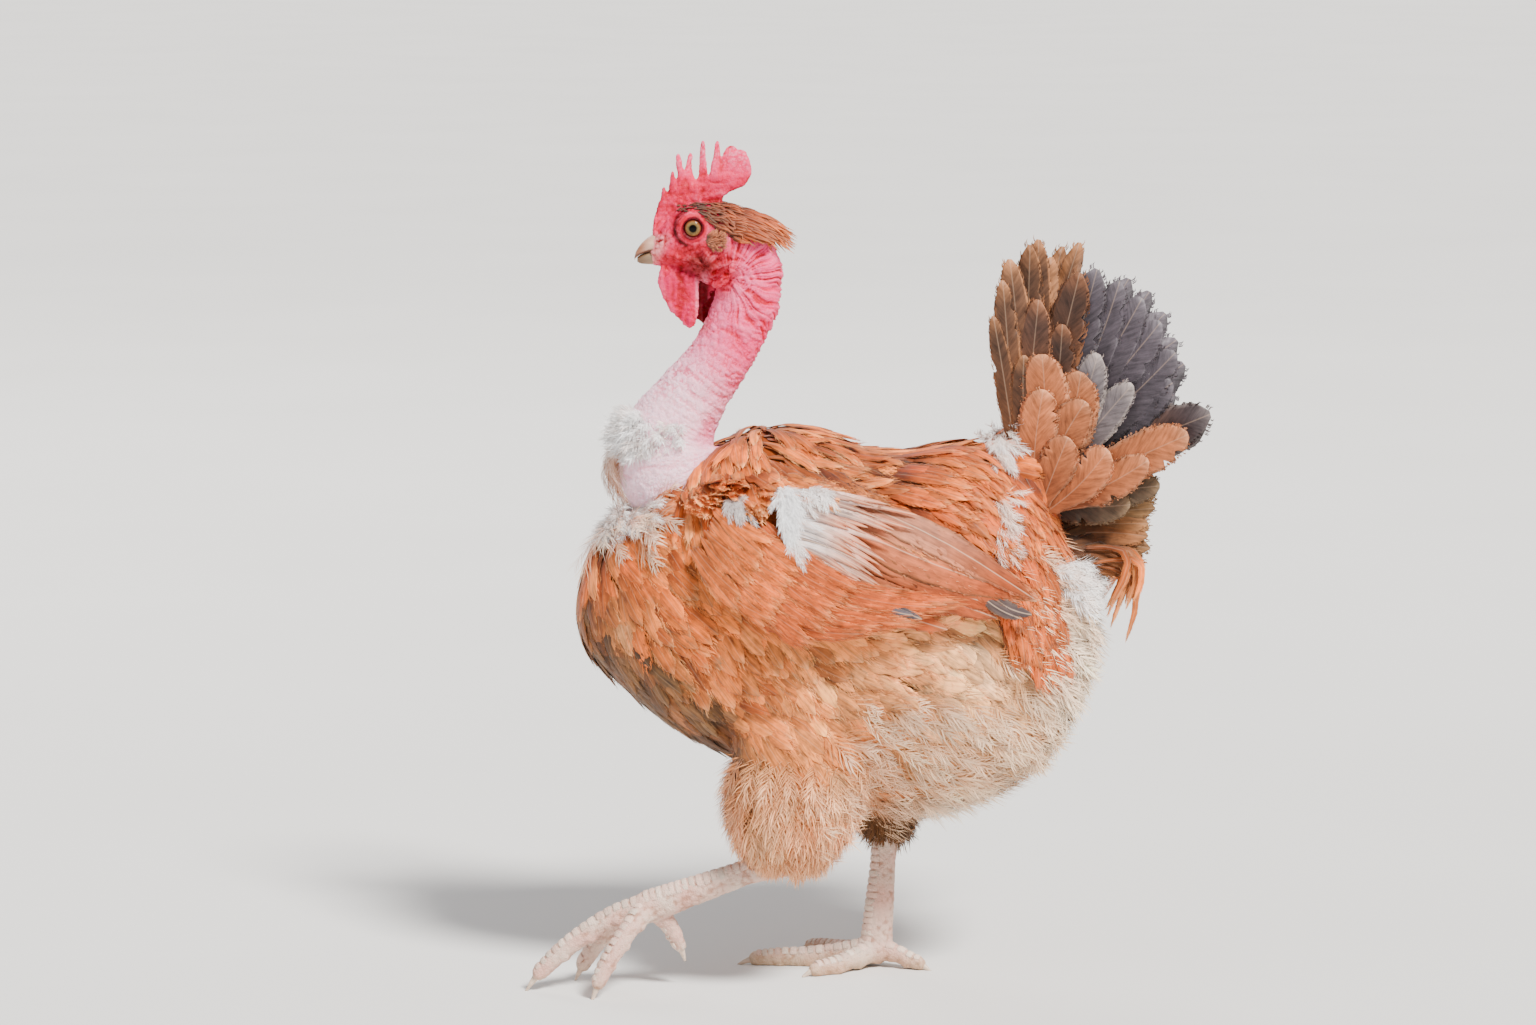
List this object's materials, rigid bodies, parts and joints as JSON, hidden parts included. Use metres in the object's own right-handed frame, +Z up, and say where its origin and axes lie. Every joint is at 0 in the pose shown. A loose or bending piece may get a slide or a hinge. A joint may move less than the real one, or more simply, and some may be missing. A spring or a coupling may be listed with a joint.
{
  "type": "naked neck chicken",
  "caption": "Life-size naked neck hen walking with one foot forward, bare neck and head with comb and wattles, folded wings and raised fan tail.",
  "frame": {"origin": "on the floor, below the middle of the model's box", "axes": "+Z up, bill towards -X, the hen's left side towards -Y"},
  "size_m": [0.3412, 0.1582, 0.4205],
  "materials": {
    "plumage": "orange-chestnut body feathers, soft and matt with a faint sheen",
    "tail_feathers": "dark grey-brown tail feathers with pale shafts",
    "down": "white and cream down",
    "face_skin": "bright red bare skin with fine papillae, slightly waxy",
    "neck_skin": "pink bare neck skin with fine wrinkles",
    "leg_scales": "pale pinkish ivory scales",
    "horn": "horn of bill and claws, ivory and tan, slightly glossy",
    "eye": "amber iris with a black pupil under a clear glossy cornea"
  },
  "bodies": {
    "root": {"head": "face_skin", "comb": "face_skin", "wattle_left": "face_skin", "wattle_right": "face_skin", "ear_left": "plumage", "ear_right": "plumage", "eye_left": "eye", "eye_right": "eye", "bill_upper": "horn", "bill_lower": "horn", "crown": "plumage", "neck": "neck_skin", "neck_tuft": "down", "torso": "plumage", "wing_left": "plumage", "wing_right": "plumage", "tail": "tail_feathers", "thigh_left": "plumage", "thigh_right": "plumage", "shank_left": "leg_scales", "shank_right": "leg_scales", "foot_left": "leg_scales", "foot_right": "leg_scales", "claw_left_middle": "horn", "claw_left_outer": "horn", "claw_left_inner": "horn", "claw_left_hind": "horn", "claw_right_middle": "horn", "claw_right_outer": "horn", "claw_right_inner": "horn", "claw_right_hind": "horn"}
  },
  "joints": []
}
